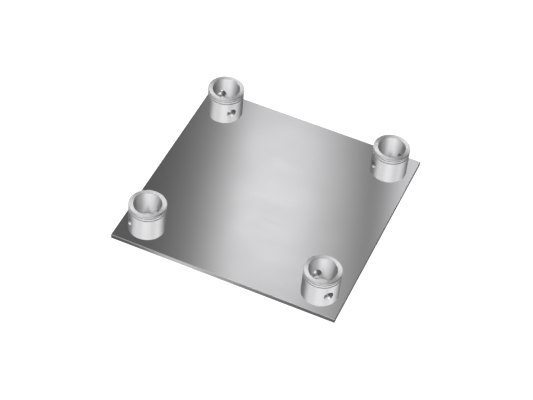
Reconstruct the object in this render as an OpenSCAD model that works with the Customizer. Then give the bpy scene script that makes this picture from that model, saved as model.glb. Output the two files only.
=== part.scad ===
// Square truss base plate with four conical half couplers, each held by a
// countersunk screw from below. Origin at the centre of the underside, Z up,
// sides of the plate along X and Y. Millimetres.

/* [Base plate] */
// Side of the square plate
plate_side = 308; // [300:1:360]
// Thickness of the plate
plate_t = 6.35; // [6.2:0.05:12]
// Width of the 45 degree break on every edge of the plate
edge_break = 0.4; // [0.2:0.1:1]

/* [Coupler layout] */
// Distance between coupler centres along each side
coupler_pitch = 240; // [200:1:244]

/* [Half coupler outside] */
// Height of a coupler above the plate
coupler_h = 42; // [40:1:60]
// Diameter of the plain body
body_d = 48.6; // [46:0.2:52]
// How far the collar at the open end stands proud of the body, per side
collar_proud = 0.3; // [0.1:0.1:0.8]
// Width of the 45 degree chamfer round the open end
rim_chamfer = 1; // [0.4:0.1:1.4]
// Width of the edge break round the base
base_break = 0.3; // [0.1:0.1:1]

/* [Turned grooves] */
// Number of grooves under the collar
groove_count = 2; // [1:1:4]
// Depth of the first groove's centre below the open end
groove_first = 3.1; // [2.8:0.1:4]
// Distance from one groove to the next
groove_pitch = 4.1; // [3:0.1:5]
// Radius of the round-bottomed groove
groove_r = 0.9; // [0.5:0.1:1.2]

/* [Conical socket] */
// Diameter of the cone where it meets the open end
cone_d = 37; // [34:0.5:39]
// Angle between the cone's wall and its axis
cone_angle = 9.5; // [5:0.5:10]
// Depth of the socket below the open end
socket_depth = 32; // [30:0.5:34]
// Width of the lead-in chamfer at the socket's mouth
lead_in = 0.5; // [0.2:0.1:1]

/* [Pin hole] */
// Diameter of the hole for the truss pin
pin_hole_d = 12.5; // [10:0.5:14]
// Depth of the pin hole's axis below the open end
pin_drop = 24; // [20:0.5:25]

/* [Screws] */
// Nominal thread diameter
thread_d = 10; // [8:1:12]
// Diameter of the countersunk head
head_d = 20; // [18:0.5:20]
// How far the head sits inside the underside
head_recess = 0.2; // [0.1:0.1:0.5]
// Width across the flats of the hexagon socket
hex_width = 6; // [4:0.5:8]
// Depth of the hexagon socket
hex_depth = 3.5; // [2.5:0.5:4]
// Chamfer at the screw's point
point_chamfer = 0.8; // [0.4:0.1:1.2]
// How far the point stops short of the socket's floor
point_gap = 0.15; // [0.1:0.05:1]

/* [Clearances] */
// Radial play between the screw and the tapped hole
thread_play = 0.1; // [0.05:0.05:0.2]
// Radial play between the screw and the hole in the plate
hole_play = 0.25; // [0.2:0.05:0.5]
// Width of the chamfer at each end of the tapped hole
tap_chamfer = 0.9; // [0.5:0.1:1.5]

/* [Hidden] */
$fn = 128;
// Name of each corner, with the signs of its X and Y
CORNERS = [["front_left", -1, -1], ["front_right", 1, -1],
           ["rear_right", 1, 1], ["rear_left", -1, 1]];
// How far a cutting tool runs past the face that it opens
OVERCUT = 1;
body_r = body_d / 2;
collar_r = body_r + collar_proud;
cone_r = cone_d / 2;
// Underside of the collar, above the coupler's base
collar_z = coupler_h - groove_first;
// Top of the solid floor under the socket
floor_z = coupler_h - socket_depth;
tap_r = thread_d / 2 + thread_play;
hole_r = thread_d / 2 + hole_play;
// Radius of the countersink where it meets the underside
sink_r = head_d / 2 + head_recess;
screw_length = plate_t - head_recess + floor_z - point_gap;

// Radius of the conical wall at a depth below the open end
function cone_r_at(depth) = cone_r - depth * tan(cone_angle);

// Moves its children from the origin to one corner's coupler seat, with
// their X axis along the diagonal that runs through that corner
module at_corner(corner, z = 0)
{
    translate([corner[1] * coupler_pitch / 2, corner[2] * coupler_pitch / 2, z])
        rotate([0, 0, 45 * corner[1] * corner[2]])
            children();
}

// A 90 degree cone that opens downwards on to the plane z = 0
module countersink(mouth_r, small_r)
{
    translate([0, 0, -OVERCUT])
        cylinder(r1 = mouth_r + OVERCUT, r2 = small_r, h = mouth_r - small_r + OVERCUT);
}

// A bar along X with the section of the plate, all its long edges broken
module plate_bar()
{
    half = plate_side / 2;
    inner = half - edge_break;
    top = plate_t - edge_break;
    rotate([90, 0, 90])
        linear_extrude(height = plate_side, center = true)
            polygon([[-inner, 0], [inner, 0], [half, edge_break], [half, top],
                     [inner, plate_t], [-inner, plate_t], [-half, top], [-half, edge_break]]);
}

// The sheared blank: two crossed bars leave the square, and a square on its
// corner breaks the four upright edges
module plate_blank()
{
    intersection() {
        plate_bar();
        rotate([0, 0, 90])
            plate_bar();
        rotate([0, 0, 45])
            translate([0, 0, plate_t / 2])
                cube([(plate_side - edge_break) * sqrt(2), (plate_side - edge_break) * sqrt(2),
                      plate_t + 2 * OVERCUT], center = true);
    }
}

module base_plate()
{
    color([0.62, 0.62, 0.63])
        difference() {
            plate_blank();
            for (corner = CORNERS)
                at_corner(corner) {
                    translate([0, 0, -OVERCUT])
                        cylinder(r = hole_r, h = plate_t + 2 * OVERCUT);
                    countersink(sink_r, hole_r);
                }
        }
}

// Outside of the coupler as turned, before any hole
module turned_blank()
{
    rotate_extrude()
        polygon([[0, 0], [body_r - base_break, 0], [body_r, base_break],
                 [body_r, collar_z], [collar_r, collar_z],
                 [collar_r, coupler_h - rim_chamfer], [collar_r - rim_chamfer, coupler_h],
                 [0, coupler_h]]);
}

// Round-bottomed grooves, the first one under the collar
module grooves()
{
    for (i = [0 : groove_count - 1])
        rotate_extrude()
            translate([body_r, collar_z - i * groove_pitch])
                circle(r = groove_r, $fn = 32);
}

// The conical socket with its lead-in, open at the top
module socket()
{
    rotate_extrude()
        polygon([[0, floor_z], [cone_r_at(socket_depth), floor_z],
                 [cone_r_at(lead_in), coupler_h - lead_in], [cone_r + lead_in, coupler_h],
                 [cone_r + lead_in, coupler_h + OVERCUT], [0, coupler_h + OVERCUT]]);
}

// The tapped hole through the floor, at the thread's outer diameter
module tapped_hole()
{
    mouth = tap_r + tap_chamfer;
    translate([0, 0, -OVERCUT])
        cylinder(r = tap_r, h = floor_z + 2 * OVERCUT);
    countersink(mouth, tap_r);
    translate([0, 0, floor_z])
        mirror([0, 0, 1])
            countersink(mouth, tap_r);
}

// The pin hole through both walls, along X
module pin_hole()
{
    translate([0, 0, coupler_h - pin_drop])
        rotate([0, 90, 0])
            cylinder(d = pin_hole_d, h = 2 * (collar_r + OVERCUT), center = true);
}

module half_coupler()
{
    color([0.83, 0.83, 0.84])
        difference() {
            turned_blank();
            grooves();
            socket();
            tapped_hole();
            pin_hole();
        }
}

// Countersunk screw with its head's face on z = 0 and its point upwards
module screw()
{
    thread_r = thread_d / 2;
    head_h = head_d / 2 - thread_r;
    difference() {
        union() {
            cylinder(r1 = head_d / 2, r2 = thread_r, h = head_h);
            cylinder(r = thread_r, h = screw_length - point_chamfer);
            translate([0, 0, screw_length - point_chamfer])
                cylinder(r1 = thread_r, r2 = thread_r - point_chamfer, h = point_chamfer);
        }
        translate([0, 0, -OVERCUT])
            cylinder(d = hex_width / cos(30), h = hex_depth + OVERCUT, $fn = 6);
    }
}

module coupler_screws()
{
    color([0.72, 0.72, 0.74])
        for (corner = CORNERS)
            at_corner(corner, head_recess)
                screw();
}

base_plate();
for (corner = CORNERS)
    at_corner(corner, plate_t) half_coupler();
coupler_screws();
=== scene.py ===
import math

import bpy
from mathutils import Matrix, Vector

# Camera, fitted to the plate's corners and the couplers' rims
CAMERA_PLACE = (0.5256, -1.5351, 1.7059)
CAMERA_AZIMUTH = 109.05
CAMERA_ELEVATION = -46.43
CAMERA_ROLL = 6.20
CAMERA_LENS = 121.53
SENSOR_WIDTH = 36.0

PLATE = "base_plate"
SCREWS = "coupler_screws"
COUPLERS = ("coupler_front_left", "coupler_front_right", "coupler_rear_right", "coupler_rear_left")
# Half the distance between coupler centres
COUPLER_OUT = 0.12
PLATE_TOP = 0.00635
PLATE_HALF = 0.154
# Upward faces above this height are the couplers' open ends
RIM_HEIGHT = 0.047
# Radii of the plain body and of the round-bottomed grooves
BODY_RADIUS = 0.0243
GROOVE_RADIUS = 0.0009
# How far in from the body a point can still lie in a groove, and the heights
# between which the grooves lie
GROOVE_REACH = 1.2 * GROOVE_RADIUS
GROOVES_FROM = 0.039
GROOVES_TO = 0.0465
# Share of the metal's grey left in a groove as painted shade, its roughness there,
# and the share of the groove's depth over which both set in
GROOVE_SHADE_GREY = 0.4
GROOVE_ROUGH = 0.25
GROOVE_SETS_IN = 0.15
# How near to a surface a point still counts as on it
NEAR = 0.00005
# Axis height and radius of the pin holes, and the middle of their wall from the
# coupler's axis
PIN_HEIGHT = 0.02435
PIN_RADIUS = 0.00625
PIN_MIDDLE = 0.018
# Share of the metal's grey left as painted shade deep in a pin hole, the distances
# from the wall's middle between which that fades out, and the heights, in the hole's
# radii, between which it sets in on the sides
PIN_SHADE_GREY = 0.25
PIN_FADE = (0.001, 0.0045)
PIN_SIDES = (-0.9, -0.6)
# Height of the sockets' flat floors, and the share of the metal's grey left there as painted shade
SOCKET_FLOOR = 0.01635
SOCKET_FLOOR_SHADE_GREY = 0.7

# Finishes: greys between which the metal varies, and roughness
PLATE_GREYS = ((0.61, 0.61, 0.62), (0.63, 0.63, 0.64))
PLATE_ROUGH = (0.34, 0.36)
TURNED_GREYS = ((0.81, 0.81, 0.82), (0.85, 0.85, 0.86))
COUPLER_ROUGH = 0.42
RIM_ROUGH = 0.50
# How strongly the rim draws its highlights out, and their turn from the tangent
RIM_STRETCH = 0.9
RIM_TURN = 0.25
SCREW_GREYS = ((0.60, 0.60, 0.62), (0.72, 0.72, 0.74))
SCREW_ROUGH = (0.28, 0.42)
# Noise cells per metre of the plate's grain along X, Y and Z
PLATE_GRAIN = (15, 2500, 400)
# Part of a noise's range that its finish follows
NOISE_LOW, NOISE_HIGH = 0.3, 0.7

FLOOR_GREY = 0.9
FLOOR_SUN = 4.0
FLOOR_HALF = 12.0
FLOOR_GAP = 0.0001

# Half the width that a gradient covers, from the plate's centre, and its largest tone
REACH = 0.25
TOP_TONE = 1.4
# From a grey on the screen to its light
SCREEN_GAMMA = 2.2
# Radius of the small lights that carry the gradients
GRADED_LIGHT_RADIUS = 0.02
# The soft gradient that the plate's top face shows: its bands run along the
# line of sight, turned by this angle from the plate's Y axis
BAND_TURN = 17.0
# (distance from the centre across the bands, grey on the screen where the light
# is strongest: the far right end needs more than white to reach its grey)
BAND_TONES = ((-0.160, 0.30), (-0.142, 0.337), (-0.094, 0.514), (-0.036, 0.824), (0.045, 0.83),
              (0.090, 0.732), (0.139, 0.560), (0.151, 0.76), (0.159, 0.96), (0.171, 1.14), (0.185, 1.32))
# Light that the top has without the gradient, and the gradient's strength
BAND_BASE = 0.045
BAND_GAIN = 14.7
# How the gradient's light falls off per metre away from the camera, and grows
# with the square of that distance towards the plate's ends
BAND_FALL = 0.97
BAND_ENDS = 6.0
# The glint along the front side face: (X, grey on the screen)
GLINT_TONES = ((-0.150, 0.20), (-0.120, 0.40), (-0.075, 0.82), (-0.030, 0.67), (0.050, 0.45),
               (0.154, 0.30))
GLINT_BASE = 0.08
GLINT_GAIN = 12.3

# Light of the room itself, from all sides
ROOM = 0.10
# Large soft lights: degrees to the right of the camera's side, degrees above
# the horizon, strength. They pass through what is in their way, as the light
# of a studio picture does where all its shadows are filled.
COUPLER_LIGHTS = ((-150, 60, 0.85), (-90, 0, 0.25), (-60, -60, 0.3), (-60, -30, 0.15), (-30, 0, 0.7),
                  (0, -60, 0.2), (0, -30, 0.35), (0, 60, 0.25), (30, 0, 0.6), (60, -60, 0.3),
                  (90, -60, 0.3), (150, 30, 0.3))
# What only shows from behind the couplers
REAR_LIGHTS = ((-140, 10, 0.3), (180, 0, 0.15), (140, 10, 0.2))
PLATE_LIGHTS = ((-110, 45, 0.5), (-60, 45, 0.5), (0, 45, 0.5), (60, 45, 0.2), (110, 45, 0.2),
                (0, -85, 0.6), (180, -46, 0.3))
SOFT_LIGHT_WIDTH = 45.0


def set_input(tree, node, name, value):
    socket = node.inputs[name]
    if isinstance(value, bpy.types.NodeSocket):
        tree.links.new(value, socket)
    else:
        socket.default_value = value


def math_node(tree, operation, *values):
    node = tree.nodes.new("ShaderNodeMath")
    node.operation = operation
    for number, value in enumerate(values):
        set_input(tree, node, number, value)
    return node.outputs[0]


def vector_node(tree, operation, *values):
    node = tree.nodes.new("ShaderNodeVectorMath")
    node.operation = operation
    for number, value in enumerate(values):
        set_input(tree, node, "Scale" if operation == "SCALE" and number == 1 else number, value)
    return node.outputs["Value"] if operation in ("LENGTH", "DOT_PRODUCT") else node.outputs[0]


def split_node(tree, vector):
    node = tree.nodes.new("ShaderNodeSeparateXYZ")
    tree.links.new(vector, node.inputs[0])
    return node.outputs


def join_node(tree, x=0.0, y=0.0, z=0.0):
    node = tree.nodes.new("ShaderNodeCombineXYZ")
    for number, value in enumerate((x, y, z)):
        set_input(tree, node, number, value)
    return node.outputs[0]


def range_node(tree, value, low, high, to_low, to_high):
    node = tree.nodes.new("ShaderNodeMapRange")
    for number, item in enumerate((value, low, high, to_low, to_high)):
        set_input(tree, node, number, item)
    return node.outputs[0]


def ramp_node(tree, factor, stops):
    """Greys along a factor: stops are (place, grey)."""
    node = tree.nodes.new("ShaderNodeValToRGB")
    ramp = node.color_ramp
    ramp.interpolation = "LINEAR"
    ramp.elements.remove(ramp.elements[-1])
    for number, (place, grey) in enumerate(stops):
        stop = ramp.elements[0] if number == 0 else ramp.elements.new(place)
        stop.position = place
        stop.color = (grey, grey, grey, 1)
    tree.links.new(factor, node.inputs["Fac"])
    return node.outputs["Color"]


def noise_node(tree, vector, scale, detail=2.0, rough=0.5):
    node = tree.nodes.new("ShaderNodeTexNoise")
    tree.links.new(vector, node.inputs["Vector"])
    node.inputs["Scale"].default_value = scale
    node.inputs["Detail"].default_value = detail
    node.inputs["Roughness"].default_value = rough
    return node.outputs["Fac"]


def bump_node(tree, height, distance):
    node = tree.nodes.new("ShaderNodeBump")
    node.inputs["Strength"].default_value = 1.0
    node.inputs["Distance"].default_value = distance
    tree.links.new(height, node.inputs["Height"])
    return node.outputs["Normal"]


def mix_grey(tree, factor, dark, light):
    node = tree.nodes.new("ShaderNodeMix")
    node.data_type = "RGBA"
    tree.links.new(factor, node.inputs["Factor"])
    node.inputs["A"].default_value = (*dark, 1)
    node.inputs["B"].default_value = (*light, 1)
    return node.outputs["Result"]


def new_material(name):
    material = bpy.data.materials.new(name)
    material.use_nodes = True
    tree = material.node_tree
    return material, tree, tree.nodes["Principled BSDF"]


def dress(node, material):
    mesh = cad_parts[node].data
    mesh.materials.clear()
    mesh.materials.append(material)


def place_of(tree):
    """The point on the object, in metres."""
    return tree.nodes.new("ShaderNodeTexCoord").outputs["Object"]


def plate_metal():
    """Rolled sheet with a long fine grain along X."""
    material, tree, shader = new_material("rolled_aluminium")
    place = place_of(tree)
    grain = noise_node(tree, vector_node(tree, "MULTIPLY", place, PLATE_GRAIN), 1.0, 3.0, 0.6)
    cloud = noise_node(tree, place, 18.0, 3.0, 0.5)
    shader.inputs["Metallic"].default_value = 1.0
    grey = mix_grey(tree, grain, *PLATE_GREYS)
    tree.links.new(grey, shader.inputs["Base Color"])
    rough = math_node(tree, "ADD", range_node(tree, grain, NOISE_LOW, NOISE_HIGH, *PLATE_ROUGH),
                      range_node(tree, cloud, NOISE_LOW, NOISE_HIGH, -0.005, 0.005))
    tree.links.new(rough, shader.inputs["Roughness"])
    tree.links.new(bump_node(tree, grain, 0.000001), shader.inputs["Normal"])
    return material


def turned_place(tree):
    """Radius from the coupler's own axis, height, the way round that axis, and the pin holes' painted
    shade.

    The couplers stand at (+-COUPLER_OUT, +-COUPLER_OUT), so the signs of X
    and Y give the nearest axis.
    """
    x, y, z = split_node(tree, place_of(tree))
    side_x, side_y = math_node(tree, "SIGN", x), math_node(tree, "SIGN", y)
    local_x = math_node(tree, "MULTIPLY_ADD", side_x, -COUPLER_OUT, x)
    local_y = math_node(tree, "MULTIPLY_ADD", side_y, -COUPLER_OUT, y)
    radius = vector_node(tree, "LENGTH", join_node(tree, local_x, local_y))
    around = join_node(tree, math_node(tree, "MULTIPLY", local_y, -1.0), local_x)
    side = math_node(tree, "MULTIPLY", side_x, side_y)
    shade = pin_hole_painted_shade(tree, side, local_x, local_y, radius, z)
    return radius, z, vector_node(tree, "NORMALIZE", around), shade


def pin_hole_painted_shade(tree, side, local_x, local_y, radius, height):
    """0 on open surfaces, 1 where shade is painted into the grey: half way through a pin hole,
    and up the sides of its outer half.

    The hole's axis runs along the diagonal (1, side) of its coupler.
    """
    turned_x = math_node(tree, "MULTIPLY", side, local_x)
    across = math_node(tree, "MULTIPLY", math_node(tree, "SUBTRACT", local_y, turned_x), math.sqrt(0.5))
    up = math_node(tree, "SUBTRACT", height, PIN_HEIGHT)
    off = vector_node(tree, "LENGTH", join_node(tree, across, up))
    inside = math_node(tree, "LESS_THAN", off, PIN_RADIUS + NEAR)
    from_middle = math_node(tree, "ABSOLUTE", math_node(tree, "SUBTRACT", radius, PIN_MIDDLE))
    halfway = range_node(tree, from_middle, *PIN_FADE, 1.0, 0.0)
    sides = math_node(tree, "MULTIPLY", math_node(tree, "GREATER_THAN", radius, PIN_MIDDLE),
                      range_node(tree, up, *(PIN_RADIUS * share for share in PIN_SIDES), 0.0, 1.0))
    return math_node(tree, "MULTIPLY", inside, math_node(tree, "MAXIMUM", halfway, sides))


def groove_depth(tree, radius, height):
    """How deep in a turned groove a point lies: 0 on the body, 1 at the bottom."""
    depth = range_node(tree, radius, BODY_RADIUS, BODY_RADIUS - GROOVE_RADIUS, 0.0, 1.0)
    outside = math_node(tree, "GREATER_THAN", radius, BODY_RADIUS - GROOVE_REACH)
    low = math_node(tree, "GREATER_THAN", height, GROOVES_FROM)
    high = math_node(tree, "LESS_THAN", height, GROOVES_TO)
    near = math_node(tree, "MULTIPLY", outside, math_node(tree, "MULTIPLY", low, high))
    return math_node(tree, "MULTIPLY", depth, near)


def floor_shade_share(tree, height):
    """The share of the grey that a point keeps, less on a socket's flat floor, where shade is painted, than
    elsewhere.
    """
    off = math_node(tree, "ABSOLUTE", math_node(tree, "SUBTRACT", height, SOCKET_FLOOR))
    on_floor = math_node(tree, "LESS_THAN", off, NEAR)
    return range_node(tree, on_floor, 0.0, 1.0, 1.0, SOCKET_FLOOR_SHADE_GREY)


def turned_metal(name, rough):
    """Turned aluminium with fine rings round the coupler's axis."""
    material, tree, shader = new_material(name)
    radius, height, around, shade = turned_place(tree)
    profile = join_node(tree, radius, 0.0, height)
    rings = noise_node(tree, profile, 4000.0, 2.0, 0.6)
    bands = noise_node(tree, profile, 600.0, 2.0, 0.5)
    shader.inputs["Metallic"].default_value = 1.0
    grey = mix_grey(tree, bands, *TURNED_GREYS)
    deep = groove_depth(tree, radius, height)
    # Painted shade: the grey is darkened in the grooves and deep in the pin holes
    kept = math_node(tree, "MULTIPLY", range_node(tree, deep, 0.0, GROOVE_SETS_IN, 1.0, GROOVE_SHADE_GREY),
                     range_node(tree, shade, 0.0, 1.0, 1.0, PIN_SHADE_GREY))
    # Painted shade: the grey is darkened on the sockets' flat floors
    kept = math_node(tree, "MULTIPLY", kept, floor_shade_share(tree, height))
    tree.links.new(vector_node(tree, "SCALE", grey, kept), shader.inputs["Base Color"])
    even = range_node(tree, bands, NOISE_LOW, NOISE_HIGH, rough - 0.01, rough + 0.01)
    smooth = range_node(tree, deep, 0.0, GROOVE_SETS_IN, 0.0, GROOVE_ROUGH - rough)
    tree.links.new(math_node(tree, "ADD", even, smooth), shader.inputs["Roughness"])
    tree.links.new(bump_node(tree, rings, 0.000002), shader.inputs["Normal"])
    return material, tree, shader, around


def coupler_metal():
    return turned_metal("turned_aluminium", COUPLER_ROUGH)[0]


def rim_metal():
    """The faced end of a coupler, whose cuts draw the highlights out across them."""
    material, tree, shader, around = turned_metal("faced_aluminium", RIM_ROUGH)
    shader.inputs["Anisotropic"].default_value = RIM_STRETCH
    shader.inputs["Anisotropic Rotation"].default_value = RIM_TURN
    tree.links.new(around, shader.inputs["Tangent"])
    return material


def dress_rim(node, material):
    """Gives the ring at a coupler's open end, with its chamfers, its own finish."""
    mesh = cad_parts[node].data
    mesh.materials.append(material)
    for face in mesh.polygons:
        if face.normal.z > 0.5 and face.center.z > RIM_HEIGHT:
            face.material_index = len(mesh.materials) - 1


def screw_metal():
    """Zinc plating over forged steel."""
    material, tree, shader = new_material("zinc_plating")
    place = place_of(tree)
    spots = noise_node(tree, place, 500.0, 3.0, 0.6)
    shader.inputs["Metallic"].default_value = 1.0
    grey = mix_grey(tree, spots, *SCREW_GREYS)
    tree.links.new(grey, shader.inputs["Base Color"])
    tree.links.new(range_node(tree, spots, NOISE_LOW, NOISE_HIGH, *SCREW_ROUGH), shader.inputs["Roughness"])
    tree.links.new(bump_node(tree, spots, 0.00001), shader.inputs["Normal"])
    return material


def make_floor():
    mesh = bpy.data.meshes.new("floor")
    h = FLOOR_HALF
    mesh.from_pydata([(-h, -h, 0), (h, -h, 0), (h, h, 0), (-h, h, 0)], [], [(0, 1, 2, 3)])
    floor = bpy.data.objects.new("floor", mesh)
    floor.location.z = -FLOOR_GAP
    bpy.context.scene.collection.objects.link(floor)
    material, tree, shader = new_material("pale_floor")
    shader.inputs["Base Color"].default_value = (FLOOR_GREY, FLOOR_GREY, FLOOR_GREY, 1)
    shader.inputs["Roughness"].default_value = 1.0
    shader.inputs["Specular IOR Level"].default_value = 0.0
    # From below, the floor lets the underside show
    mix = tree.nodes.new("ShaderNodeMixShader")
    tree.links.new(tree.nodes.new("ShaderNodeNewGeometry").outputs["Backfacing"], mix.inputs[0])
    tree.links.new(shader.outputs[0], mix.inputs[1])
    tree.links.new(tree.nodes.new("ShaderNodeBsdfTransparent").outputs[0], mix.inputs[2])
    tree.links.new(mix.outputs[0], tree.nodes["Material Output"].inputs[0])
    mesh.materials.append(material)
    floor.visible_glossy = False
    return floor


def make_world():
    """A dim even studio whose backdrop the camera sees as white."""
    world = bpy.data.worlds.new("studio")
    bpy.context.scene.world = world
    world.use_nodes = True
    tree = world.node_tree
    tree.nodes.clear()
    mix = tree.nodes.new("ShaderNodeMixShader")
    tree.links.new(tree.nodes.new("ShaderNodeLightPath").outputs["Is Camera Ray"], mix.inputs[0])
    for number, strength in enumerate((ROOM, 1.0)):
        light = tree.nodes.new("ShaderNodeBackground")
        light.inputs["Color"].default_value = (1, 1, 1, 1)
        light.inputs["Strength"].default_value = strength
        tree.links.new(light.outputs[0], mix.inputs[number + 1])
    out = tree.nodes.new("ShaderNodeOutputWorld")
    tree.links.new(mix.outputs[0], out.inputs[0])


def only_on(light, *objects):
    """Keeps a light to some objects."""
    group = bpy.data.collections.new(light.name + "_only")
    for item in objects:
        group.objects.link(item)
    light.light_linking.receiver_collection = group


def add_light(name, kind, place, strength):
    """A light that faces the object's centre."""
    data = bpy.data.lights.new(name, kind)
    data.energy = strength
    light = bpy.data.objects.new(name, data)
    light.location = place
    light.rotation_euler = Vector(place).to_track_quat("Z", "Y").to_euler()
    bpy.context.scene.collection.objects.link(light)
    return light


def place_on_face(tree, light, along, normal, offset):
    """Where the light's rays meet a face of the plate, as a distance along it.

    The face lies at an offset from the origin along its normal.
    """
    direction = tree.nodes.new("ShaderNodeTexCoord").outputs["Normal"]
    spread = math_node(tree, "DIVIDE", vector_node(tree, "DOT_PRODUCT", direction, along),
                       vector_node(tree, "DOT_PRODUCT", direction, normal))
    reach = offset - light.location.dot(Vector(normal))
    return math_node(tree, "MULTIPLY_ADD", spread, reach, light.location.dot(Vector(along)))


def graded_light(name, place):
    """A small light without shadow on the plate alone, whose strength nodes set by direction."""
    light = add_light(name, "POINT", place, 1.0)
    light.rotation_euler = (0, 0, 0)
    light.data.shadow_soft_size = GRADED_LIGHT_RADIUS
    light.data.use_shadow = False
    light.data.use_nodes = True
    only_on(light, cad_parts[PLATE])
    return light, light.data.node_tree


def tone_power(tree, place, tones, base):
    """Light that brings a face from its base to the greys listed along it."""
    factor = range_node(tree, place, -REACH, REACH, 0.0, 1.0)
    stops = [((at + REACH) / (2 * REACH), tone / TOP_TONE) for at, tone in tones]
    grey = math_node(tree, "MULTIPLY", ramp_node(tree, factor, stops), TOP_TONE)
    extra = math_node(tree, "SUBTRACT", math_node(tree, "POWER", grey, SCREEN_GAMMA), base)
    return math_node(tree, "MAXIMUM", extra, 0.0)


def make_bands():
    """Lays the soft bands on the top, from where the top as a mirror would show them to the camera."""
    across, deep, high = CAMERA_PLACE
    light, tree = graded_light("band_light", (-across, -deep, high))
    turn = math.radians(BAND_TURN)
    top = ((0, 0, 1), PLATE_TOP)
    place = place_on_face(tree, light, (math.cos(turn), math.sin(turn), 0), *top)
    away = place_on_face(tree, light, (-math.sin(turn), math.cos(turn), 0), *top)
    fall = math_node(tree, "MULTIPLY_ADD", away, BAND_ENDS * BAND_GAIN, -BAND_FALL * BAND_GAIN)
    gain = math_node(tree, "MULTIPLY_ADD", away, fall, BAND_GAIN)
    power = math_node(tree, "MULTIPLY", tone_power(tree, place, BAND_TONES, BAND_BASE), gain)
    tree.links.new(power, tree.nodes["Emission"].inputs["Strength"])


def make_glint():
    """Lays the glint on the front side face in the same way, from below."""
    across, deep, high = CAMERA_PLACE
    light, tree = graded_light("glint_light", (-across, deep, -high))
    place = place_on_face(tree, light, (1, 0, 0), (0, 1, 0), -PLATE_HALF)
    power = math_node(tree, "MULTIPLY", tone_power(tree, place, GLINT_TONES, GLINT_BASE), GLINT_GAIN)
    tree.links.new(power, tree.nodes["Emission"].inputs["Strength"])


def soft_lights(name, lights, *objects):
    """Wide suns on some objects only, which cast no shadow."""
    for number, (turn, height, strength) in enumerate(lights):
        azimuth, elevation = math.radians(CAMERA_AZIMUTH + 180 + turn), math.radians(height)
        place = Vector((math.cos(azimuth) * math.cos(elevation), math.sin(azimuth) * math.cos(elevation),
                        math.sin(elevation)))
        light = add_light(f"{name}_{number}", "SUN", 2 * place, strength)
        light.data.angle = math.radians(SOFT_LIGHT_WIDTH)
        light.data.use_shadow = False
        only_on(light, *objects)


def make_lights(floor):
    above = add_light("floor_light", "SUN", (0, 0, 3), FLOOR_SUN)
    above.data.use_shadow = False
    only_on(above, floor)

    soft_lights("coupler_light", COUPLER_LIGHTS, *(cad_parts[name] for name in (*COUPLERS, SCREWS)))
    soft_lights("rear_light", REAR_LIGHTS, *(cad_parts[name] for name in COUPLERS))
    soft_lights("plate_light", PLATE_LIGHTS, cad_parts[PLATE])

    make_bands()
    make_glint()


def make_camera():
    azimuth, elevation = math.radians(CAMERA_AZIMUTH), math.radians(CAMERA_ELEVATION)
    forward = Vector((math.cos(azimuth) * math.cos(elevation), math.sin(azimuth) * math.cos(elevation),
                      math.sin(elevation)))
    level = forward.cross(Vector((0, 0, 1))).normalized()
    right = Matrix.Rotation(-math.radians(CAMERA_ROLL), 3, forward) @ level
    up = right.cross(forward)
    data = bpy.data.cameras.new("camera")
    data.lens = CAMERA_LENS
    data.sensor_width = SENSOR_WIDTH
    data.sensor_fit = "HORIZONTAL"
    camera = bpy.data.objects.new("camera", data)
    turn = Matrix((right, up, -forward)).transposed().to_4x4()
    camera.matrix_world = Matrix.Translation(CAMERA_PLACE) @ turn
    bpy.context.scene.collection.objects.link(camera)
    bpy.context.scene.camera = camera


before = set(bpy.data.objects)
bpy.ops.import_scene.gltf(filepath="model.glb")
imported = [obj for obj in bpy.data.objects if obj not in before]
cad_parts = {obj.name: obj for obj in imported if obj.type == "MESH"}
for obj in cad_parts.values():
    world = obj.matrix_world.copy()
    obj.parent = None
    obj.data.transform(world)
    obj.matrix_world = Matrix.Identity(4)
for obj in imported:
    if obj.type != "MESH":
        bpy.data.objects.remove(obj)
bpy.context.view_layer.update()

dress(PLATE, plate_metal())
dress(SCREWS, screw_metal())
turned, faced = coupler_metal(), rim_metal()
for name in COUPLERS:
    dress(name, turned)
    dress_rim(name, faced)
    # The plate shows no picture of the couplers in the photograph's soft light
    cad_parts[name].visible_glossy = False
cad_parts[PLATE].visible_glossy = False

floor = make_floor()
make_world()
make_lights(floor)
make_camera()
bpy.context.scene.view_settings.view_transform = "Standard"
